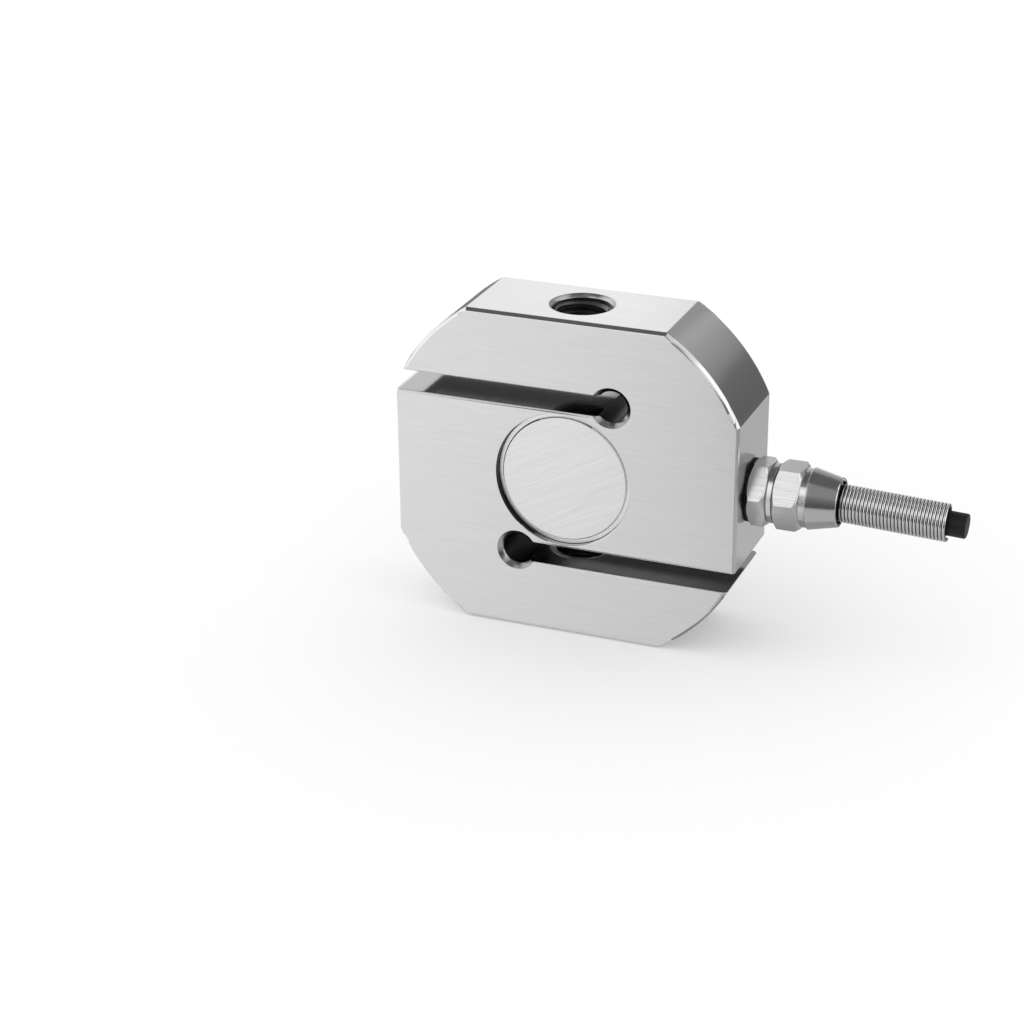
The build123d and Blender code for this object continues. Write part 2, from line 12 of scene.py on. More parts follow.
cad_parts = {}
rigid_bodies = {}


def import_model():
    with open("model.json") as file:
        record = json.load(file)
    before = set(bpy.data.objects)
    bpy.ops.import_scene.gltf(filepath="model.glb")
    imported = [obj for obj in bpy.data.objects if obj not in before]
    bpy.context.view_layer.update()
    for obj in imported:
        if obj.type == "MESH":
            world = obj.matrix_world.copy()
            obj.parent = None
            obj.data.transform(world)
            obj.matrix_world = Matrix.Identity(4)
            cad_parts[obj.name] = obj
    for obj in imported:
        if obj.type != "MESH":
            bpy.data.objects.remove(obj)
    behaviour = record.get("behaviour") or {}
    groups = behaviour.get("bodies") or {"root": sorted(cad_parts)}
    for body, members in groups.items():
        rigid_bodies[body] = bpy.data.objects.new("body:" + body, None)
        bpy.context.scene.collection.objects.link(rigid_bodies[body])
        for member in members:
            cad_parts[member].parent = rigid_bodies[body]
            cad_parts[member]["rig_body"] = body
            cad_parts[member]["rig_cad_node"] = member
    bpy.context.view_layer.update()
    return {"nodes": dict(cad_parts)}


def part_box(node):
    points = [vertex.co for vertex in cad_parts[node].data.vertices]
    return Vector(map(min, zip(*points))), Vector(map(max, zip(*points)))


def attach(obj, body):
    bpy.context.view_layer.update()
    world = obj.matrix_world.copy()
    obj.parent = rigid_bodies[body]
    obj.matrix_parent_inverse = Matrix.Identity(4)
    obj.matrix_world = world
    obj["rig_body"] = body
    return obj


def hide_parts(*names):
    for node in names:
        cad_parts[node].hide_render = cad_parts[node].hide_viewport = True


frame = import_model()

LOG = logging.getLogger("load_cell")
MM = 0.001
ALMOST = 0.01 * MM
BUMP_HEIGHT = 0.02 * MM
LINE_CONTRAST = (0.3, 0.7)
STEEL = (0.66, 0.66, 0.66)
WHITE = (1.0, 1.0, 1.0)
FACING_UP = (0.0, 0.0, 1.0)
CARD_AIM = Vector((0.0, 0.0, 0.034))
CARD_DISTANCE = 1.2

Colour = tuple[float, float, float]
Point = tuple[float, float, float]
Window = tuple[float, float]
Value = bpy.types.NodeSocket | float | tuple[float, ...]
Inputs = dict[str | int, Value]
FaceTest = Callable[[Vector, Vector], bool]
EdgeTest = Callable[[bpy.types.MeshPolygon, bpy.types.MeshPolygon], bool]


class Run(Enum):
    """The way that hair lines run over a surface, as their share along X, Y and Z."""

    ALONG_X = (1.0, 0.0, 0.0)
    ALONG_Y = (0.0, 1.0, 0.0)


class Tree:
    """A node tree with short calls for adding and joining nodes."""

    def __init__(self, tree: bpy.types.NodeTree) -> None:
        """Keeps the tree of a material, a world or a group, and empties it."""
        self.tree = tree
        tree.nodes.clear()

    def feed(self, socket: bpy.types.NodeSocket, value: Value) -> None:
        """Links an input to an output, or sets it.

        Args:
            socket: the input.
            value: an output socket, or a number, a colour or a place.
        """
        if isinstance(value, bpy.types.NodeSocket):
            self.tree.links.new(value, socket)
        elif socket.type == "RGBA":
            socket.default_value = (*value, 1.0)
        else:
            socket.default_value = value

    def add(self, kind: str, inputs: Inputs | None = None, **settings: object) -> bpy.types.Node:
        """Adds a node, sets its properties and feeds its inputs.

        Args:
            kind: the node's type name, with its leading "ShaderNode" left out.
            inputs: what each input gets, by the input's name or place.
            settings: properties of the node by name.

        Returns:
            The new node.
        """
        node = self.tree.nodes.new(kind if kind.startswith("Node") else "ShaderNode" + kind)
        for name, value in settings.items():
            setattr(node, name, value)
        for key, value in (inputs or {}).items():
            self.feed(node.inputs[key], value)
        return node

    def math(self, operation: str, first: Value, second: Value = 0.0) -> bpy.types.NodeSocket:
        """Adds a Math node for two sockets or numbers and returns its socket."""
        return self.add("Math", {0: first, 1: second}, operation=operation).outputs[0]

    def mask(self, value: bpy.types.NodeSocket, low: float, high: float) -> bpy.types.NodeSocket:
        """Maps low to high onto a mask of 0 to 1 and returns the mask's socket."""
        return self.add("MapRange", {"Value": value, "From Min": low, "From Max": high}).outputs[0]

    def span(self, mask: bpy.types.NodeSocket, low: float, high: float) -> bpy.types.NodeSocket:
        """Maps a mask of 0 to 1 onto low to high and returns the new value's socket."""
        return self.add("MapRange", {"Value": mask, "To Min": low, "To Max": high}).outputs[0]

    def blend(self, mask: bpy.types.NodeSocket, first: Value, second: Value) -> bpy.types.NodeSocket:
        """Blends from the first colour to the second by a mask and returns the colour's socket."""
        return self.add("Mix", {"Factor": mask, 6: first, 7: second}, data_type="RGBA").outputs[2]

    def axes(self, place: bpy.types.NodeSocket) -> bpy.types.NodeOutputs:
        """Splits a place and returns its sockets X, Y and Z."""
        return self.add("SeparateXYZ", {0: place}).outputs


def group_tree(
    name: str, inputs: dict[str, float | None], outputs: list[str]
) -> tuple[Tree, bpy.types.NodeOutputs, bpy.types.NodeInputs]:
    """Starts a shader node group with named sockets.

    Args:
        name: the group's name.
        inputs: each input's name, with its default number, or with None if it takes a place.
        outputs: the names of the value outputs.

    Returns:
        The group's tree, the sockets that come in and the sockets that go out.
    """
    group = bpy.data.node_groups.new(name, "ShaderNodeTree")
    for label, value in inputs.items():
        kind = "NodeSocketVector" if value is None else "NodeSocketFloat"
        socket = group.interface.new_socket(label, in_out="INPUT", socket_type=kind)
        if value is not None:
            socket.default_value = value
    for label in outputs:
        group.interface.new_socket(label, in_out="OUTPUT", socket_type="NodeSocketFloat")
    tree = Tree(group)
    return tree, tree.add("NodeGroupInput").outputs, tree.add("NodeGroupOutput").inputs


def hair_lines_group() -> bpy.types.NodeTree:
    """Fine straight lines of a belt or grinding wheel, with broad faint patches, built once.

    Returns:
        The group, with inputs Vector, Run X, Run Y, Run Z, Across and Along, and outputs Lines and Patches.
    """
    name = "hair_lines"
    if name in bpy.data.node_groups:
        return bpy.data.node_groups[name]
    inputs = {"Vector": None, "Run X": 1.0, "Run Y": 0.0, "Run Z": 0.0, "Across": 7000.0, "Along": 60.0}
    tree, given, result = group_tree(name, inputs, ["Lines", "Patches"])
    narrowing = tree.math("SUBTRACT", given["Across"], given["Along"])
    cuts = {axis: tree.math("MULTIPLY", narrowing, given["Run " + axis]) for axis in "XYZ"}
    ridges = {axis: tree.math("SUBTRACT", given["Across"], cut) for axis, cut in cuts.items()}
    scale = tree.add("CombineXYZ", ridges).outputs[0]
    place = tree.add("VectorMath", {0: given["Vector"], 1: scale}, operation="MULTIPLY").outputs[0]
    lines = tree.add("TexNoise", {"Vector": place, "Scale": 1.0, "Detail": 3.0, "Roughness": 0.65})
    patches = tree.add("TexNoise", {"Vector": given["Vector"], "Scale": 90.0, "Detail": 2.0})
    tree.feed(result["Lines"], tree.mask(lines.outputs["Fac"], *LINE_CONTRAST))
    tree.feed(result["Patches"], patches.outputs["Fac"])
    return tree.tree


def turning_lines_group() -> bpy.types.NodeTree:
    """Fine lines that a turning tool leaves round an axis that lies along X, built once.

    Returns:
        The group, with inputs Vector and Fineness and outputs Lines and Radius.
    """
    name = "turning_lines"
    if name in bpy.data.node_groups:
        return bpy.data.node_groups[name]
    tree, given, result = group_tree(name, {"Vector": None, "Fineness": 9000.0}, ["Lines", "Radius"])
    parts = tree.axes(given["Vector"])
    across = tree.add("CombineXYZ", {"X": parts["Y"], "Y": parts["Z"]})
    radius = tree.add("VectorMath", {0: across.outputs[0]}, operation="LENGTH").outputs["Value"]
    feed = tree.math("MULTIPLY", parts["X"], given["Fineness"])
    reach = tree.math("MULTIPLY", radius, given["Fineness"])
    place = tree.add("CombineXYZ", {"X": feed, "Y": reach})
    lines = tree.add("TexNoise", {"Vector": place.outputs[0], "Scale": 1.0, "Detail": 2.0})
    tree.feed(result["Lines"], lines.outputs["Fac"])
    tree.feed(result["Radius"], radius)
    return tree.tree


def tones(colour: Colour, shade: float) -> tuple[Colour, Colour]:
    """The dark and the light tone of a colour.

    Args:
        colour: the colour between them.
        shade: how far the tones are from it, as a share.

    Returns:
        The dark tone and the light tone.
    """
    dark = tuple(channel * (1 - shade) for channel in colour)
    light = tuple(min(1.0, channel * (1 + shade)) for channel in colour)
    return dark, light


def finish_surface(
    tree: Tree,
    colour: bpy.types.NodeSocket,
    rough: bpy.types.NodeSocket,
    height: bpy.types.NodeSocket,
    depth: float,
    metallic: float = 1.0,
    gloss: float = 0.5,
) -> None:
    """Ends a material with a bump, the shader and the output.

    Args:
        tree: the material's tree.
        colour: the base colour's socket.
        rough: the roughness socket.
        height: the mask that the bump follows.
        depth: the bump's strength.
        metallic: 1 for bare metal and 0 for the rest.
        gloss: the specular level, where 0.5 is a common plastic.
    """
    bump = tree.add("Bump", {"Strength": depth, "Distance": BUMP_HEIGHT, "Height": height})
    inputs = {"Base Color": colour, "Roughness": rough, "Normal": bump.outputs[0]}
    inputs.update({"Metallic": metallic, "Specular IOR Level": gloss})
    shader = tree.add("BsdfPrincipled", inputs)
    tree.add("OutputMaterial", {"Surface": shader.outputs[0]})


@dataclass(frozen=True)
class Finish:
    """A procedural surface, which makes one material of its name."""

    name: str

    def material(self) -> bpy.types.Material:
        """Makes the finish's material, or finds it if it is there.

        Returns:
            The material.
        """
        if self.name in bpy.data.materials:
            return bpy.data.materials[self.name]
        made = bpy.data.materials.new(self.name)
        made.use_nodes = True
        self.paint(Tree(made.node_tree))
        return made

    def paint(self, tree: Tree) -> None:
        """Builds the material's nodes, as each kind of finish does in its own way."""
        raise NotImplementedError


@dataclass(frozen=True)
class SteelFinish(Finish):
    """A bare stainless surface, with the sizes of its hair lines.

    The lines run along `run` once the surface has been turned by `turn`, in degrees. They are noise with
    `across` and `along` as its scales. A shaded end is painted shade on the slots' walls near their end
    holes:
    it gives the slot-end holes' distance from the block's middle along X and the middle's height, and its
    reach the distances from a hole's axis at which the painted shade is full and at which it ends.
    """

    colour: Colour = STEEL
    roughness: float = 0.3
    spread: float = 0.06
    shade: float = 0.035
    run: Run = Run.ALONG_X
    turn: Point = (0.0, 0.0, 0.0)
    across: float = 7000.0
    along: float = 60.0
    depth: float = 0.1
    # painted shade: the slots' walls turn dark near their end holes, in place of the shade there
    painted_shade_end: tuple[float, float] | None = None
    painted_shade_colour: Colour = (0.12, 0.12, 0.12)
    painted_shade_reach: Window = (3.0 * MM, 7.0 * MM)

    def paint(self, tree: Tree) -> None:
        """Builds the hair lines, with their tones and gloss.

        Args:
            tree: the material's tree.
        """
        place = tree.add("TexCoord").outputs["Object"]
        turn = tuple(math.radians(angle) for angle in self.turn)
        turned = tree.add("Mapping", {"Vector": place, "Rotation": turn})
        inputs = {"Run " + axis: share for axis, share in zip("XYZ", self.run.value)}
        inputs.update({"Vector": turned.outputs[0], "Across": self.across, "Along": self.along})
        hair = tree.add("Group", inputs, node_tree=hair_lines_group()).outputs
        colour = tree.blend(hair["Lines"], *tones(self.colour, self.shade))
        # painted shade on the slots' walls near their end holes
        if self.painted_shade_end is not None:
            colour = self.paint_end_shade(tree, colour, place)
        half = self.spread / 2
        rough = tree.span(hair["Lines"], self.roughness + half, self.roughness - half)
        drift = tree.span(hair["Patches"], -half, half)
        finish_surface(tree, colour, tree.math("ADD", rough, drift), hair["Lines"], self.depth)

    def paint_end_shade(
        self, tree: Tree, colour: bpy.types.NodeSocket, place: bpy.types.NodeSocket
    ) -> bpy.types.NodeSocket:
        """Paints shade on the two slots' walls near their end holes, by blending towards a dark colour.

        Args:
            tree: the material's tree.
            colour: the clean colour's socket.
            place: the place's socket.

        Returns:
            The colour's socket.
        """
        parts = tree.axes(place)
        end, middle = self.painted_shade_end
        side = tree.math("SIGN", tree.math("SUBTRACT", parts["Z"], middle))
        along = tree.math("SUBTRACT", tree.math("MULTIPLY", parts["X"], side), end)
        mask = tree.mask(tree.math("ABSOLUTE", along), *self.painted_shade_reach)
        return tree.blend(mask, self.painted_shade_colour, colour)


@dataclass(frozen=True)
class TurnedFinish(Finish):
    """Turned stainless, with tool lines round the cable's axis, which may droop from a pivot on it.

    A `groove` gives the radii at which the grooves between the turns are filled with painted shade and at
    which it ends. The turns next to the pivot get painted shade as well, and the last window gives the same
    two places along the axis.
    """

    pivot: Point
    droop: float = 0.0
    colour: Colour = (0.62, 0.62, 0.62)
    roughness: float = 0.19
    spread: float = 0.06
    shade: float = 0.06
    fineness: float = 9000.0
    depth: float = 0.12
    # painted shade in the spring's grooves and on its turns next to the pivot
    groove: Window | None = None
    crevice_shade: Colour = (0.02, 0.02, 0.02)
    pivot_shade_reach: Window = (0.2 * MM, 0.9 * MM)

    def paint(self, tree: Tree) -> None:
        """Builds the tool lines, with their tones and gloss.

        Args:
            tree: the material's tree.
        """
        inputs = {"Vector": tree.add("TexCoord").outputs["Object"], "Location": self.pivot}
        inputs["Rotation"] = (0.0, math.radians(self.droop), 0.0)
        place = tree.add("Mapping", inputs, vector_type="TEXTURE").outputs[0]
        inputs = {"Vector": place, "Fineness": self.fineness}
        marks = tree.add("Group", inputs, node_tree=turning_lines_group()).outputs
        colour = tree.blend(marks["Lines"], *tones(self.colour, self.shade))
        # painted shade: dark in the grooves between the turns and next to the pivot
        if self.groove is not None:
            clear = tree.mask(marks["Radius"], *self.groove)
            away = tree.mask(tree.axes(place)["X"], *self.pivot_shade_reach)
            colour = tree.blend(tree.math("MULTIPLY", clear, away), self.crevice_shade, colour)
        half = self.spread / 2
        rough = tree.span(marks["Lines"], self.roughness + half, self.roughness - half)
        finish_surface(tree, colour, rough, marks["Lines"], self.depth)


@dataclass(frozen=True)
class MouldedFinish(Finish):
    """Rubber, plastic, resin or another fine-grained surface, with mottle and pores."""

    colour: Colour
    roughness: float = 0.5
    spread: float = 0.12
    shade: float = 0.12
    grain: float = 2500.0
    depth: float = 0.15
    metallic: float = 0.0
    gloss: float = 0.5

    def paint(self, tree: Tree) -> None:
        """Builds the mottle, with its tones and gloss.

        Args:
            tree: the material's tree.
        """
        place = tree.add("TexCoord").outputs["Object"]
        mottle = tree.add("TexNoise", {"Vector": place, "Scale": self.grain, "Detail": 4.0}).outputs["Fac"]
        colour = tree.blend(mottle, *tones(self.colour, self.shade))
        rough = tree.span(mottle, self.roughness - self.spread / 2, self.roughness + self.spread / 2)
        finish_surface(tree, colour, rough, mottle, self.depth, self.metallic, self.gloss)


ENTRY_AXIS = sum(corner.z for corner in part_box("gland_o_ring")) / 2
ENTRY_MOUTH = (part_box("gland_nut")[1].x, 0.0, ENTRY_AXIS)
SPRING_RADIUS = 3.85 * MM

GROUND_FACE = SteelFinish("ground_face", roughness=0.33, across=4500.0, along=140.0)
GROUND_FLAT = SteelFinish("ground_flat", roughness=0.19)
TURNED_RIM = SteelFinish("turned_rim", run=Run.ALONG_Y, roughness=0.15, depth=0.05)
CHAMFER = SteelFinish("bright_chamfer", roughness=0.14, depth=0.04)
# The slot walls' dark grey is partly the cut steel's own tone and partly painted shade inside the slots.
CUT_WALL = SteelFinish(
    "cut_slot_wall", (0.38, 0.38, 0.38), roughness=0.1, spread=0.03, depth=0.04,
    painted_shade_end=(10.0 * MM, 34.0 * MM),
)
# painted highlight: the slots' small chamfers are made near white
SLOT_EDGE_HIGHLIGHT = SteelFinish("slot_edge_painted_highlight", (0.9, 0.9, 0.9), roughness=0.55)
# painted shade: the slot-end holes' walls are made near black
DRILLED_SHADE = SteelFinish("drilled_wall_painted_shade", (0.04, 0.04, 0.04), roughness=0.36, depth=0.05)
SINK = SteelFinish("countersink", (0.32, 0.32, 0.32), roughness=0.2, depth=0.04)
# painted shade on the left part of the covers' recess walls
RECESS_SHADE = SteelFinish("painted_shade_recess_wall", (0.03, 0.03, 0.03), depth=0.05)
COVER_FACE = SteelFinish(
    "brushed_cover", (0.73, 0.73, 0.73), roughness=0.34, shade=0.06, turn=(0.0, 28.0, 0.0), across=4200.0,
    along=90.0, depth=0.2,
)
BORE = SteelFinish("bored_wall", (0.42, 0.42, 0.42), roughness=0.22)
THREAD = SteelFinish("cut_thread", (0.2, 0.2, 0.2))
HEX_FLAT = SteelFinish("ground_hexagon", (0.62, 0.62, 0.62), roughness=0.24, shade=0.06, across=3500.0)
TURNED = TurnedFinish("turned_gland_steel", ENTRY_MOUTH)
# painted shade: the inside of the nut's mouth is made near black
MOUTH_SHADE = TurnedFinish("mouth_painted_shade", ENTRY_MOUTH, colour=(0.05, 0.05, 0.05), roughness=0.4)
# the spring gets painted shade in its grooves and on the turns next to the nut's mouth
SPRING = TurnedFinish(
    "drawn_spring_wire", ENTRY_MOUTH, droop=2.4, colour=STEEL, roughness=0.12, spread=0.04, depth=0.04,
    groove=(SPRING_RADIUS - 0.25 * MM, SPRING_RADIUS - 0.1 * MM),
)

SLOT_FINISHES: dict[str, Finish] = {
    "cover_stainless": COVER_FACE,
    "turned_stainless": TURNED,
    "spring_steel": SPRING,
    "black_rubber": MouldedFinish("moulded_rubber", (0.006, 0.006, 0.006), roughness=0.6, gloss=0.2),
    "jacket_black": MouldedFinish("extruded_jacket", (0.008, 0.008, 0.008), gloss=0.3),
    "tinned_braid": MouldedFinish("braided_wire", (0.5, 0.5, 0.5), roughness=0.4, metallic=1.0),
    "copper": MouldedFinish("bare_copper", (0.72, 0.33, 0.18), roughness=0.3, metallic=1.0),
    "insulation_red": MouldedFinish("red_core_skin", (0.55, 0.02, 0.02), roughness=0.4),
    "insulation_black": MouldedFinish("black_core_skin", (0.015, 0.015, 0.015), roughness=0.4),
    "insulation_green": MouldedFinish("green_core_skin", (0.02, 0.25, 0.06), roughness=0.4),
    "insulation_white": MouldedFinish("white_core_skin", (0.75, 0.75, 0.72), roughness=0.4),
    "gauge_foil": MouldedFinish("amber_gauge_film", (0.62, 0.45, 0.2), roughness=0.4),
    "board_green": MouldedFinish("lacquered_board", (0.03, 0.16, 0.07), roughness=0.4),
    "solder": MouldedFinish("bright_solder", (0.6, 0.6, 0.58), roughness=0.3, metallic=1.0),
    "chip_ceramic": MouldedFinish("fired_ceramic", (0.03, 0.03, 0.035), roughness=0.4),
    "potting_resin": MouldedFinish("cast_resin", (0.03, 0.028, 0.025), roughness=0.3),
    "machined_stainless": GROUND_FACE,
}


def take(piece: bpy.types.Object) -> None:
    """Selects one piece alone and makes it active."""
    bpy.ops.object.select_all(action="DESELECT")
    piece.select_set(True)
    bpy.context.view_layer.objects.active = piece


@contextmanager
def editing(piece: bpy.types.Object, kind: str = "VERT") -> Iterator[None]:
    """Opens a piece in edit mode for the lines that follow, and closes it after them.

    Args:
        piece: the piece to edit.
        kind: what is selected in it: VERT, EDGE or FACE.

    Yields:
        Nothing, once edit mode is on.
    """
    take(piece)
    bpy.context.tool_settings.mesh_select_mode = [kind == name for name in ("VERT", "EDGE", "FACE")]
    bpy.ops.object.mode_set(mode="EDIT")
    yield
    bpy.ops.object.mode_set(mode="OBJECT")


def clear_selection(piece: bpy.types.Object) -> None:
    """Deselects every corner, edge and face of a piece."""
    for elements in (piece.data.vertices, piece.data.edges, piece.data.polygons):
        elements.foreach_set("select", [False] * len(elements))


def select_edges(piece: bpy.types.Object, test: EdgeTest) -> None:
    """Selects only the edges between two faces that pass a test.

    Args:
        piece: the piece to select on.
        test: takes the two faces and says whether their edge is selected.
    """
    clear_selection(piece)
    sides: dict[tuple[int, int], list[bpy.types.MeshPolygon]] = {}
    for polygon in piece.data.polygons:
        for key in polygon.edge_keys:
            sides.setdefault(key, []).append(polygon)
    for edge in piece.data.edges:
        pair = sides.get(edge.key, [])
        edge.select = len(pair) == 2 and test(*pair)


def apply_modifier(piece: bpy.types.Object, kind: str, **settings: object) -> None:
    """Adds a modifier to a piece and applies it.

    Args:
        piece: the piece to change.
        kind: the modifier's type.
        settings: the modifier's properties by name.
    """
    take(piece)
    modifier = piece.modifiers.new(kind.lower(), kind)
    for name, value in settings.items():
        setattr(modifier, name, value)
    bpy.ops.object.modifier_apply(modifier=modifier.name)


def name_piece(piece: bpy.types.Object, name: str) -> None:
    """Gives a piece and its mesh one name."""
    piece.name = name
    piece.data.name = name


def merged_copy(node: str, name: str) -> bpy.types.Object:
    """Copies a solid of the frame as a piece that stands for it, with its loose triangles joined.

    Args:
        node: the solid's name in the frame.
        name: the new piece's name.

    Returns:
        The copy, with clean corners and flat faces made whole.
    """
    take(frame["nodes"][node])
    bpy.ops.object.duplicate()
    piece = bpy.context.object
    name_piece(piece, name)
    piece.parent = None
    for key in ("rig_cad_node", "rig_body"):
        if key in piece:
            del piece[key]
    bpy.ops.mesh.customdata_custom_splitnormals_clear()
    with editing(piece):
        bpy.ops.mesh.select_all(action="SELECT")
        bpy.ops.mesh.remove_doubles(threshold=0.002 * MM)
        bpy.ops.mesh.dissolve_limited(angle_limit=math.radians(0.3))
    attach(piece, "root")
    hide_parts(node)
    return piece


def split_faces(piece: bpy.types.Object) -> None:
    """Splits the many-sided faces into triangles, so that a rounding can't close the openings in them.

    Args:
        piece: the piece to split.
    """
    clear_selection(piece)
    for polygon in piece.data.polygons:
        polygon.select = len(polygon.vertices) > 4
    with editing(piece, "FACE"):
        bpy.ops.mesh.quads_convert_to_tris(quad_method="BEAUTY", ngon_method="BEAUTY")


def break_edges(piece: bpy.types.Object, width: float, degrees: float) -> None:
    """Rounds every edge that is sharper than the given angle, as a quick deburring leaves it.

    Args:
        piece: the piece to round.
        width: the rounding's width.
        degrees: the flattest edge that is rounded.
    """
    sharp = {"limit_method": "ANGLE", "angle_limit": math.radians(degrees)}
    apply_modifier(piece, "BEVEL", width=width, segments=2, use_clamp_overlap=False, **sharp)


def chamfer_edges(piece: bpy.types.Object, width: float, test: EdgeTest) -> None:
    """Cuts a chamfer along the edges between two faces that pass a test.

    Args:
        piece: the piece to chamfer.
        width: the chamfer's width on each side.
        test: takes the two faces and says whether their edge is cut.
    """
    select_edges(piece, test)
    with editing(piece, "EDGE"):
        bpy.ops.mesh.bevel(offset=width, segments=1, affect="EDGES", clamp_overlap=False)


def dress(piece: bpy.types.Object, finish: Finish, test: FaceTest | None = None) -> None:
    """Gives a finish to all of a piece, or to the faces that pass a test.

    Args:
        piece: the piece to dress.
        finish: its new finish.
        test: takes a face's centre and normal, and says whether the face gets the finish.
    """
    materials = piece.data.materials
    if test is None:
        materials.clear()
        materials.append(finish.material())
        return
    materials.append(finish.material())
    for polygon in piece.data.polygons:
        if test(polygon.center, polygon.normal):
            polygon.material_index = len(materials) - 1


def smooth(piece: bpy.types.Object, degrees: float, crisp: EdgeTest | None = None) -> None:
    """Smooths the shading over all edges flatter than the given angle, with large faces kept true.

    Args:
        piece: the piece to shade.
        degrees: the steepest edge that is smoothed.
        crisp: takes two faces and says whether their edge stays sharp all the same.
    """
    take(piece)
    bpy.ops.object.shade_smooth_by_angle(angle=math.radians(degrees))
    if crisp is not None:
        select_edges(piece, crisp)
        with editing(piece, "EDGE"):
            bpy.ops.mesh.mark_sharp()
    apply_modifier(piece, "WEIGHTED_NORMAL", weight=100, keep_sharp=True)


def on_lean(at: Vector, way: Vector) -> bool:
    """Says whether a face leans between the front and the sides, as a chamfer does."""
    return 0.3 < abs(way.y) < 0.95


@dataclass
class ElasticBlock:
    """The one-piece machined block, with its finishes and the threads in its two tapped holes.

    The reaches are limits for telling the faces apart, a little past the cut that each is named for. The
    seats are how deep the thread's ridge and the cylinder that trims it stand in the bore's wall.
    """

    chamfer_in_face: float = 0.72 * MM
    chamfer_in_side: float = 1.1 * MM
    rim_radius: float = 40.0 * MM
    slot_offset: float = 17.0 * MM
    slot_roof: float = 19.15 * MM
    hole_offset: float = 10.0 * MM
    thread_pitch: float = 1.75 * MM
    thread_major: float = 6.0 * MM
    thread_minor: float = 5.2 * MM
    thread_seat: float = 0.02 * MM
    thread_room: float = 0.05 * MM
    trim_seat: float = 0.03 * MM
    trim_sink: float = 0.2 * MM
    sink_depth: float = 0.7 * MM
    thread_turns: int = 10
    thread_steps: int = 48
    edge_break: float = 0.14 * MM
    face_widening: float = 0.35 * MM
    face_rounding: float = 0.36 * MM
    level_reach: float = 0.03 * MM
    rim_reach: float = 38.0 * MM
    slot_wall_reach: float = 4.3 * MM
    slot_edge_reach: float = 3.0 * MM
    slot_end_reach: float = 14.5 * MM
    hole_reach: float = 3.4 * MM
    sink_reach: float = 4.4 * MM
    sink_start: float = 9.5 * MM
    bore_reach: float = 6.8 * MM
    painted_shade_recess_wall: Window = (13.7 * MM, 14.6 * MM)
    recess_start: float = 8.0 * MM
    low: Vector = field(init=False)
    high: Vector = field(init=False)

    def __post_init__(self) -> None:
        """Reads the block's box from the frame."""
        self.low, self.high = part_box("elastic_body")

    @property
    def middle(self) -> float:
        """The height of the block's middle."""
        return (self.low.z + self.high.z) / 2

    def build(self) -> list[bpy.types.Object]:
        """Builds the block and its two threads and returns the new pieces."""
        return [self.block(), self.thread("upper_thread", False), self.thread("lower_thread", True)]

    def block(self) -> bpy.types.Object:
        """Breaks the edges of a joined copy of the block and dresses it, face by face.

        Returns:
            The block's piece.
        """
        piece = merged_copy("elastic_body", "ground_block")
        split_faces(piece)
        self.widen_face(piece)
        chamfer_edges(piece, self.face_rounding, self.on_face_edge)
        break_edges(piece, self.edge_break, degrees=20)
        self.level_face(piece)
        dress(piece, GROUND_FACE)
        dress(piece, TURNED_RIM, self.on_rim)
        dress(piece, GROUND_FLAT, self.on_flat)
        dress(piece, CHAMFER, self.on_chamfer)
        dress(piece, SLOT_EDGE_HIGHLIGHT, self.on_slot_edge)
        dress(piece, CUT_WALL, self.in_slot)
        dress(piece, SINK, self.in_sink)
        # painted shade on the slot-end holes' walls
        dress(piece, DRILLED_SHADE, self.in_end_hole)
        dress(piece, RECESS_SHADE, self.in_recess_shade)
        dress(piece, BORE, self.in_bore)
        smooth(piece, 16, self.on_crisp_edge)
        return piece

    def widen_face(self, piece: bpy.types.Object) -> None:
        """Moves the faces' outlines out towards the flats and the rim, to leave room for the softened edge.

        Args:
            piece: the block's copy.
        """
        step, inset = self.face_widening, self.chamfer_in_face
        for vertex in piece.data.vertices:
            place = vertex.co
            if abs(place.y) < self.high.y - ALMOST:
                continue
            away = Vector((place.x, place.z - self.middle))
            beside_slot = self.from_slot(place) < self.slot_edge_reach
            if abs(away.length - self.rim_radius + inset) < 5 * ALMOST:
                longer = away * ((away.length + step) / away.length)
                place.x = longer.x
                place.z = place.z if beside_slot else longer.y + self.middle
            if abs(abs(away.x) - self.high.x + inset) < 2 * ALMOST:
                place.x = math.copysign(abs(away.x) + step, away.x)
            if abs(abs(away.y) - self.middle + inset) < 2 * ALMOST:
                place.z = self.middle + math.copysign(abs(away.y) + step, away.y)

    def level_face(self, piece: bpy.types.Object) -> None:
        """Brings all corners that lie almost in the front or back plane, or out of the box, right into it.

        Args:
            piece: the block's copy, with its edges rounded.
        """
        for vertex in piece.data.vertices:
            if abs(vertex.co.y) > self.high.y - self.level_reach:
                vertex.co.y = math.copysign(self.high.y, vertex.co.y)
            vertex.co.x = min(max(vertex.co.x, self.low.x), self.high.x)
            vertex.co.z = min(max(vertex.co.z, self.low.z), self.high.z)
        piece.data.update()

    def side_of(self, at: Vector) -> int:
        """Says which slot is nearer, as 1 for the upper one and -1 for the lower one."""
        return 1 if at.z > self.middle else -1

    def from_middle(self, at: Vector) -> float:
        """How far a place is from the rim's axis."""
        return Vector((at.x, at.z - self.middle)).length

    def from_slot(self, at: Vector) -> float:
        """How far a place is above or below the middle plane of the nearer slot."""
        return abs(abs(at.z - self.middle) - self.slot_offset)

    def from_end_hole(self, at: Vector) -> float:
        """How far a place is from the axis of the nearer slot-end hole."""
        side = self.side_of(at)
        return Vector((at.x - side * self.hole_offset, at.z - self.middle - side * self.slot_offset)).length

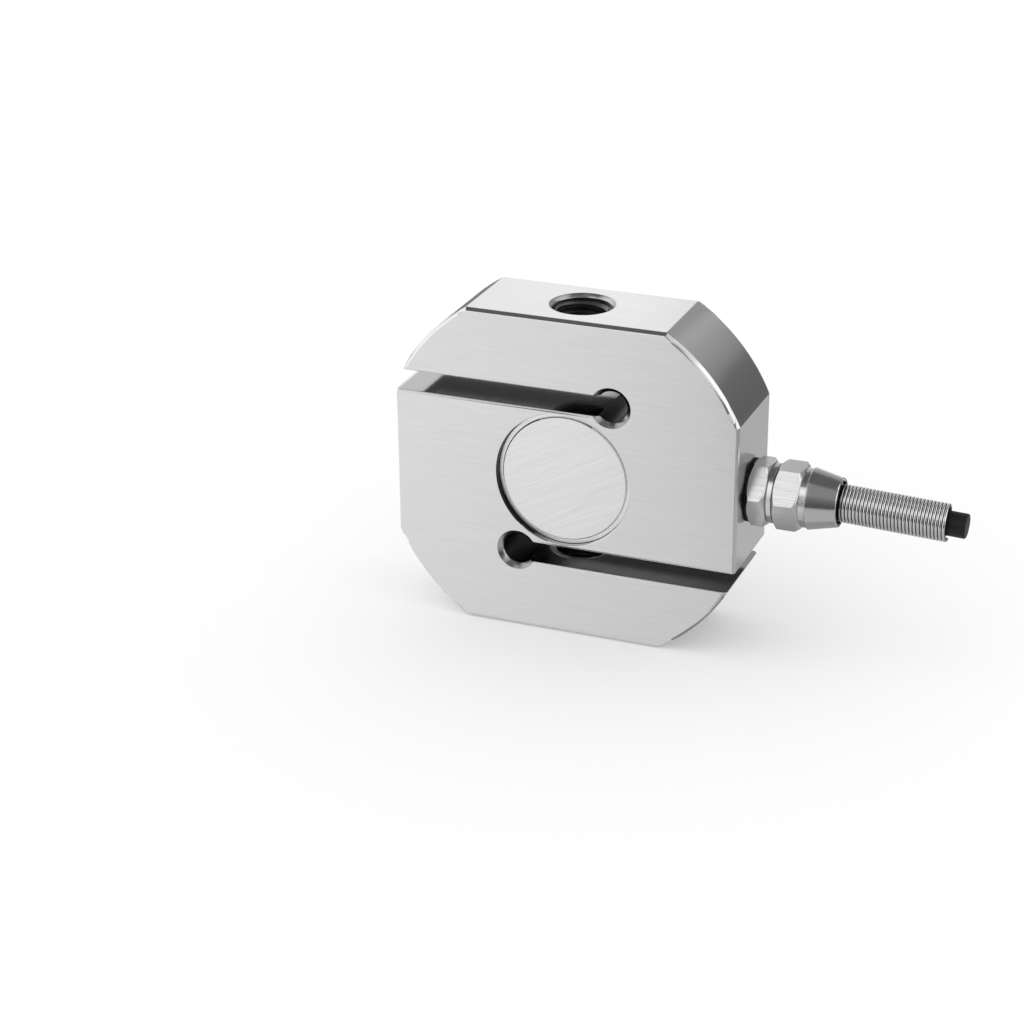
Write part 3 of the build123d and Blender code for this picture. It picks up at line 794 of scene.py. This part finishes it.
    def on_face_edge(self, one: bpy.types.MeshPolygon, other: bpy.types.MeshPolygon) -> bool:
        """Says whether two faces meet at the inner edge of the long outer chamfer."""
        side = min(one, other, key=lambda face: abs(face.normal.y))
        steep = sorted(abs(face.normal.y) for face in (one, other))
        return steep[1] > 0.99 and 0.15 < steep[0] < 0.6 and abs(side.center.y) < self.high.y - 0.3 * MM

    def on_crisp_edge(self, one: bpy.types.MeshPolygon, other: bpy.types.MeshPolygon) -> bool:
        """Says whether two faces meet at the long chamfer's outer edge or at the edge of the flat face."""
        steep = sorted(abs(face.normal.y) for face in (one, other))
        return 0.15 < steep[1] < 0.4 and steep[0] < 0.05 or steep[1] > 0.9999 > steep[0]

    def on_chamfer(self, at: Vector, way: Vector) -> bool:
        """Says whether a face is part of the long outer chamfer."""
        return on_lean(at, way) and abs(at.y) > self.high.y - self.chamfer_in_side

    def on_rim(self, at: Vector, way: Vector) -> bool:
        """Says whether a face is part of the turned rim."""
        return abs(way.y) < 0.2 and self.from_middle(at) > self.rim_reach

    def on_flat(self, at: Vector, way: Vector) -> bool:
        """Says whether a face is one of the four outer flats."""
        return abs(at.z - self.middle) > self.high.z / 2 - ALMOST or abs(at.x) > self.high.x - ALMOST

    def on_slot_edge(self, at: Vector, way: Vector) -> bool:
        """Says whether a face is part of a slot's small chamfer."""
        leaning = 0.3 < abs(way.y) < 0.99 and abs(way.z) > 0.2
        return leaning and self.from_slot(at) < self.slot_edge_reach and not self.on_rim(at, way)

    def in_slot(self, at: Vector, way: Vector) -> bool:
        """Says whether a face is a wall of one of the two slots."""
        within = at.x * self.side_of(at) < self.slot_end_reach and self.from_slot(at) < self.slot_wall_reach
        outside = abs(at.x) >= self.high.x - ALMOST or self.on_rim(at, way)
        return within and abs(way.y) < 0.3 and not outside

    def in_sink(self, at: Vector, way: Vector) -> bool:
        """Says whether a face is part of a slot-end hole's countersink."""
        return on_lean(at, way) and self.from_end_hole(at) < self.sink_reach and abs(at.y) > self.sink_start

    def in_end_hole(self, at: Vector, way: Vector) -> bool:
        """Says whether a face is the wall of a slot-end hole."""
        return abs(way.y) < 0.3 and self.from_end_hole(at) < self.hole_reach

    def in_recess_shade(self, at: Vector, way: Vector) -> bool:
        """Says whether a face is the left part of a cover's recess wall, which gets painted shade."""
        shaded = abs(way.x) > 0.45 and at.x < 0 and abs(way.y) < 0.9
        near, far = self.painted_shade_recess_wall
        return shaded and near < self.from_middle(at) < far and abs(at.y) > self.recess_start

    def in_bore(self, at: Vector, way: Vector) -> bool:
        """Says whether a face is the wall or the countersink of a tapped hole."""
        outside = abs(at.z - self.middle) > self.slot_roof
        return Vector((at.x, at.y)).length < self.bore_reach and outside and abs(way.z) < 0.95

    def thread(self, name: str, lower: bool) -> bpy.types.Object:
        """Models one inner thread as a helical ridge that stands in from the bore.

        Args:
            name: the piece's name.
            lower: True for the hole in the base.

        Returns:
            The thread's piece.
        """
        bpy.ops.mesh.primitive_plane_add(size=1.0, location=(0, 0, 0))
        piece = bpy.context.object
        name_piece(piece, name)
        crest, root = self.thread_pitch / 8, self.thread_pitch * 7 / 16
        depth = self.thread_major - self.thread_minor
        start = self.middle + self.slot_roof - self.thread_pitch
        corners = [(0.0, -root), (0.0, root), (-depth, crest), (-depth, -crest)]
        for index, (inward, up) in zip(piece.data.polygons[0].vertices, corners):
            piece.data.vertices[index].co = (self.thread_major + self.thread_seat + inward, 0.0, start + up)
        with editing(piece):
            bpy.ops.mesh.select_all(action="SELECT")
            bpy.ops.mesh.delete(type="ONLY_FACE")
        steps = {"steps": self.thread_steps, "render_steps": self.thread_steps}
        apply_modifier(
            piece, "SCREW", axis="Z", screw_offset=self.thread_pitch, iterations=self.thread_turns, **steps
        )
        with editing(piece):
            bpy.ops.mesh.select_all(action="DESELECT")
            bpy.ops.mesh.select_non_manifold()
            bpy.ops.mesh.fill()
            bpy.ops.mesh.select_all(action="SELECT")
            bpy.ops.mesh.remove_doubles(threshold=0.001 * MM)
            bpy.ops.mesh.normals_make_consistent(inside=False)
        self.trim(piece)
        if lower:
            turn = Matrix.Translation((0, 0, self.middle)) @ Matrix.Rotation(math.pi, 4, "Y")
            piece.data.transform(turn @ Matrix.Translation((0, 0, -self.middle)))
        dress(piece, THREAD)
        smooth(piece, 35)
        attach(piece, "root")
        return piece

    def trim(self, piece: bpy.types.Object) -> None:
        """Cuts a thread to the bore, with its first turn sunk by the countersink.

        Args:
            piece: the untrimmed helical ridge.
        """
        low = self.middle + self.slot_roof + self.thread_room
        height = self.high.z - self.sink_depth - low
        place = (0.0, 0.0, low + height / 2)
        wide = self.thread_major + self.trim_seat
        bpy.ops.mesh.primitive_cylinder_add(vertices=96, radius=wide, depth=height, location=place)
        core = bpy.context.object
        bpy.ops.object.transform_apply(location=True, rotation=True, scale=True)
        sink = self.thread_major - self.thread_minor + self.trim_sink
        chamfer_edges(core, sink, lambda one, other: max(one.normal.z, other.normal.z) > 0.99)
        apply_modifier(piece, "BOOLEAN", operation="INTERSECT", solver="EXACT", object=core)
        bpy.data.objects.remove(core)


class Covers:
    """The welded covers in the two recesses."""

    def build(self) -> list[bpy.types.Object]:
        """Dresses a joined copy of each cover.

        Returns:
            The two covers.
        """
        pieces = []
        for node in ("front_cover", "rear_cover"):
            piece = merged_copy(node, node + "_disc")
            dress(piece, COVER_FACE)
            dress(piece, CHAMFER, on_lean)
            smooth(piece, 14)
            pieces.append(piece)
        return pieces


@dataclass
class CableEntry:
    """The gland's fixed half and its nut, which are turned from hexagon bar."""

    widest_round: float = 6.2 * MM
    mouth_reach: float = 4.4 * MM
    mouth_depth: float = 2.5 * MM
    edge_break: float = 0.08 * MM

    def build(self) -> list[bpy.types.Object]:
        """Breaks the edges of joined copies of the gland's turned pieces and dresses them.

        Returns:
            The new pieces.
        """
        pieces = []
        for node, name in (("gland_body", "gland_seat"), ("gland_nut", "gland_clamp")):
            piece = merged_copy(node, name)
            break_edges(piece, self.edge_break, degrees=25)
            dress(piece, TURNED)
            dress(piece, HEX_FLAT, self.on_hexagon)
            # painted shade inside the nut's mouth
            dress(piece, MOUTH_SHADE, self.in_mouth)
            smooth(piece, 20)
            pieces.append(piece)
        return pieces

    def from_axis(self, at: Vector) -> float:
        """How far a place is from the cable's axis in the gland."""
        return Vector((at.y, at.z - ENTRY_AXIS)).length

    def on_hexagon(self, at: Vector, way: Vector) -> bool:
        """Says whether a face is one of the hexagons' flats, which lie outside all that is round."""
        return abs(way.x) < 0.05 and self.from_axis(at) > self.widest_round

    def in_mouth(self, at: Vector, way: Vector) -> bool:
        """Says whether a face is inside the nut's mouth."""
        return self.from_axis(at) < self.mouth_reach and at.x > ENTRY_MOUTH[0] - self.mouth_depth


def dress_frame() -> None:
    """Gives each solid of the frame the finish of its material slot."""
    for solid in frame["nodes"].values():
        materials = solid.data.materials
        materials[0] = SLOT_FINISHES[materials[0].name.split(".")[0]].material()


@dataclass(frozen=True)
class Card:
    """A card or soft box that only reflections see, standing or lying round the part as in a studio."""

    name: str
    centre: Point
    facing: Point
    width: float
    height: float
    level: float
    drift: tuple[float, float] = (0.0, 0.0)

    @classmethod
    def far(
        cls, name: str, azimuth: Window, rise: Window, level: float, drift: tuple[float, float] = (0.0, 0.0)
    ) -> "Card":
        """Places a card far off, to fill a window of directions as seen from the part.

        The azimuth is 0 behind the part and 90 at its right, and all angles are in degrees.

        Args:
            name: the card's name.
            azimuth: the window's first and last azimuth.
            rise: the window's lowest and highest elevation.
            level: the card's brightness at its first and lowest corner, where 1 is white.
            drift: what its far side and its top add to the level.

        Returns:
            The card.
        """
        turn, lift = math.radians(sum(azimuth) / 2), math.radians(sum(rise) / 2)
        way = Vector((math.sin(turn) * math.cos(lift), math.cos(turn) * math.cos(lift), math.sin(lift)))
        width = 2 * CARD_DISTANCE * math.cos(lift) * math.tan(math.radians(azimuth[1] - azimuth[0]) / 2)
        height = 2 * CARD_DISTANCE * math.tan(math.radians(rise[1] - rise[0]) / 2)
        return cls(name, tuple(CARD_AIM + way * CARD_DISTANCE), tuple(-way), width, height, level, drift)

    @classmethod
    def lying(
        cls,
        name: str,
        across: Window,
        away: Window,
        z: float,
        level: float,
        drift: tuple[float, float] = (0.0, 0.0),
    ) -> "Card":
        """Lays a card flat at one height.

        Args:
            name: the card's name.
            across: its first and last place along X.
            away: its first and last place along Y.
            z: its height.
            level: the card's brightness at its first corner, where 1 is white.
            drift: what its far side along X and along Y adds to the level.

        Returns:
            The card.
        """
        centre = (sum(across) / 2, sum(away) / 2, z)
        return cls(name, centre, FACING_UP, across[1] - across[0], away[1] - away[0], level, drift)

    def build(self) -> bpy.types.Object:
        """Sets the card up.

        Returns:
            The card.
        """
        bpy.ops.mesh.primitive_plane_add(size=1.0, location=self.centre)
        card = bpy.context.object
        card.name = "card_" + self.name
        if self.facing != FACING_UP:
            card.rotation_euler = Vector(self.facing).to_track_quat("Z", "Y").to_euler()
        card.scale = (self.width, self.height, 1.0)
        card.data.materials.append(self.material())
        for ray in ("camera", "diffuse", "shadow", "volume_scatter", "transmission"):
            setattr(card, "visible_" + ray, False)
        return card

    def material(self) -> bpy.types.Material:
        """Builds the card's plain surface.

        Returns:
            An emission of the card's level.
        """
        made = bpy.data.materials.new("card_" + self.name)
        made.use_nodes = True
        made.cycles.emission_sampling = "NONE"
        tree = Tree(made.node_tree)
        parts = tree.axes(tree.add("TexCoord").outputs["Object"])
        across = tree.math("MULTIPLY", parts["X"], self.drift[0])
        up = tree.math("MULTIPLY", parts["Y"], self.drift[1])
        strength = tree.math("ADD", tree.math("ADD", across, up), self.level + sum(self.drift) / 2)
        glow = tree.add("Emission", {"Color": WHITE, "Strength": strength})
        tree.add("OutputMaterial", {"Surface": glow.outputs[0]})
        return made


@dataclass
class Studio:
    """Floor, world, lamp, cards and the photograph's camera."""

    floor_size: float = 12.0
    floor_colour: Colour = (0.95, 0.95, 0.95)
    floor_lift: float = 0.18
    key_from: Point = (-0.45, -0.4, 0.8)
    key_angle: float = 50.0
    key_energy: float = 0.3
    camera_place: Point = (0.16474, -0.44644, 0.23431)
    camera_yaw: float = 21.978
    camera_pitch: float = 23.992
    camera_roll: float = -0.329
    focal_length: float = 88.453
    cards: list[Card] = field(default_factory=lambda: [
        Card.far("left", (250.0, 306.0), (-6.0, 44.0), 1.35),
        Card.far("behind_left", (306.0, 344.0), (7.0, 38.0), 0.82, (0.44, 0.0)),
        Card.far("behind_middle", (344.0, 376.0), (6.0, 48.0), 0.66, (-0.2, -0.2)),
        Card.far("behind_right", (16.0, 60.0), (-26.0, 12.0), 0.09, (0.0, 0.09)),
        Card.far("behind_right_top", (16.0, 60.0), (12.0, 30.0), 0.28, (0.0, 0.3)),
        Card.far("behind_top", (296.0, 390.0), (38.0, 62.0), 0.24, (0.0, -0.1)),
        Card.far("right", (62.0, 122.0), (-2.0, 44.0), 1.6),
        Card.far("right_top", (84.0, 132.0), (50.0, 72.0), 0.3),
        Card.far("front_left", (190.0, 216.0), (4.0, 54.0), 1.45),
        Card.far("front_right", (140.0, 187.0), (18.0, 75.0), 0.32),
        Card.lying("overhead", (-0.85, 0.45), (-0.28, 0.8), 1.2, 0.14),
        Card.lying("overhead_left", (-0.85, -0.2), (-0.62, -0.28), 1.2, 0.15),
        Card("near_front", (0.16, -0.13, 0.055), (0.0, 1.0, 0.0), 0.288, 0.11, 0.05, (0.0, 0.22)),
        # The cards lying on the floor are painted shadow and light on the floor as only reflections see it,
        # each at its own level in place of the floor's own shading.
        Card.lying("floor_behind", (-0.3, -0.03), (0.06, 0.6), 0.0002, 0.18),
        Card.lying("floor_shade", (-0.06, 0.024), (0.012, 0.06), 0.0003, 0.12),
        Card.lying("floor_right", (0.06, 0.45), (-0.012, 0.22), 0.0002, 0.55),
        Card.lying("floor_far_right", (0.06, 1.2), (0.22, 1.3), 0.0002, 0.17),
        Card.lying("floor_beside", (0.024, 0.06), (0.035, 0.22), 0.0003, 0.6, (0.0, -0.2)),
        Card.lying("floor_under", (0.042, 0.06), (-0.012, 0.035), 0.0004, 0.4),
        Card.lying("floor_close", (0.024, 0.042), (-0.012, 0.035), 0.0005, 0.3),
        Card.lying("floor_front", (-0.12, 0.036), (-0.3, -0.012), 0.0002, 1.18, (-0.355, 0.0)),
        Card.lying("floor_front_right", (0.036, 0.4), (-0.125, -0.012), 0.0003, 0.6),
    ])

    def build(self) -> None:
        """Sets the whole studio up."""
        self.floor()
        self.world()
        self.lamp()
        for card in self.cards:
            card.build()
        self.camera()

    def floor(self) -> None:
        """Lays a plain white floor, whose shadow is a little lighter where it is seen or mirrored."""
        bpy.ops.mesh.primitive_plane_add(size=self.floor_size, location=(0, 0, 0))
        floor = bpy.context.object
        floor.name = "studio_floor"
        made = bpy.data.materials.new("studio_floor")
        made.use_nodes = True
        tree = Tree(made.node_tree)
        rays = tree.add("LightPath").outputs
        seen = tree.math("MAXIMUM", rays["Is Camera Ray"], rays["Is Glossy Ray"])
        seen = tree.math("MAXIMUM", seen, rays["Is Transmission Ray"])
        matt = tree.add("BsdfDiffuse", {"Color": self.floor_colour})
        glow = tree.add("Emission", {"Color": WHITE})
        inputs = {0: tree.math("MULTIPLY", seen, self.floor_lift), 1: matt.outputs[0], 2: glow.outputs[0]}
        tree.add("OutputMaterial", {"Surface": tree.add("MixShader", inputs).outputs[0]})
        floor.data.materials.append(made)

    def world(self) -> None:
        """Makes the world plain white, as the background and as the fill light."""
        world = bpy.data.worlds.new("studio")
        bpy.context.scene.world = world
        world.use_nodes = True
        world.cycles.sampling_method = "NONE"
        tree = Tree(world.node_tree)
        sky = tree.add("Background", {"Color": WHITE, "Strength": 1.0})
        tree.add("OutputWorld", {"Surface": sky.outputs[0]})

    def lamp(self) -> None:
        """Hangs one large soft key lamp, far off at the upper left in front, that reflections don't see."""
        lamp = bpy.data.lights.new("key", "SUN")
        lamp.angle = math.radians(self.key_angle)
        lamp.energy = self.key_energy
        key = bpy.data.objects.new("key", lamp)
        bpy.context.scene.collection.objects.link(key)
        key.rotation_euler = Vector(self.key_from).to_track_quat("Z", "Y").to_euler()
        key.visible_glossy = False

    def camera(self) -> None:
        """Stands the camera where the photograph was taken from."""
        lens = bpy.data.cameras.new("camera")
        lens.sensor_width = 36.0
        lens.lens = self.focal_length
        lens.clip_start = 0.01
        lens.clip_end = 50.0
        camera = bpy.data.objects.new("camera", lens)
        bpy.context.scene.collection.objects.link(camera)
        turns = (self.camera_yaw, self.camera_pitch, self.camera_roll)
        yaw, pitch, roll = (math.radians(angle) for angle in turns)
        aim = Euler((math.pi / 2 - pitch, 0.0, yaw)).to_matrix().to_4x4()
        camera.matrix_world = Matrix.Translation(self.camera_place) @ aim @ Matrix.Rotation(roll, 4, "Z")
        bpy.context.scene.camera = camera
        bpy.context.scene.view_settings.view_transform = "Standard"


def main() -> None:
    """Builds the studio and each sub-assembly in order."""
    logging.basicConfig(level=logging.INFO, format="%(message)s")
    Studio().build()
    dress_frame()
    for assembly in (ElasticBlock(), Covers(), CableEntry()):
        for piece in assembly.build():
            LOG.info("%s: %d faces", piece.name, len(piece.data.polygons))


if __name__ == "__main__":
    main()
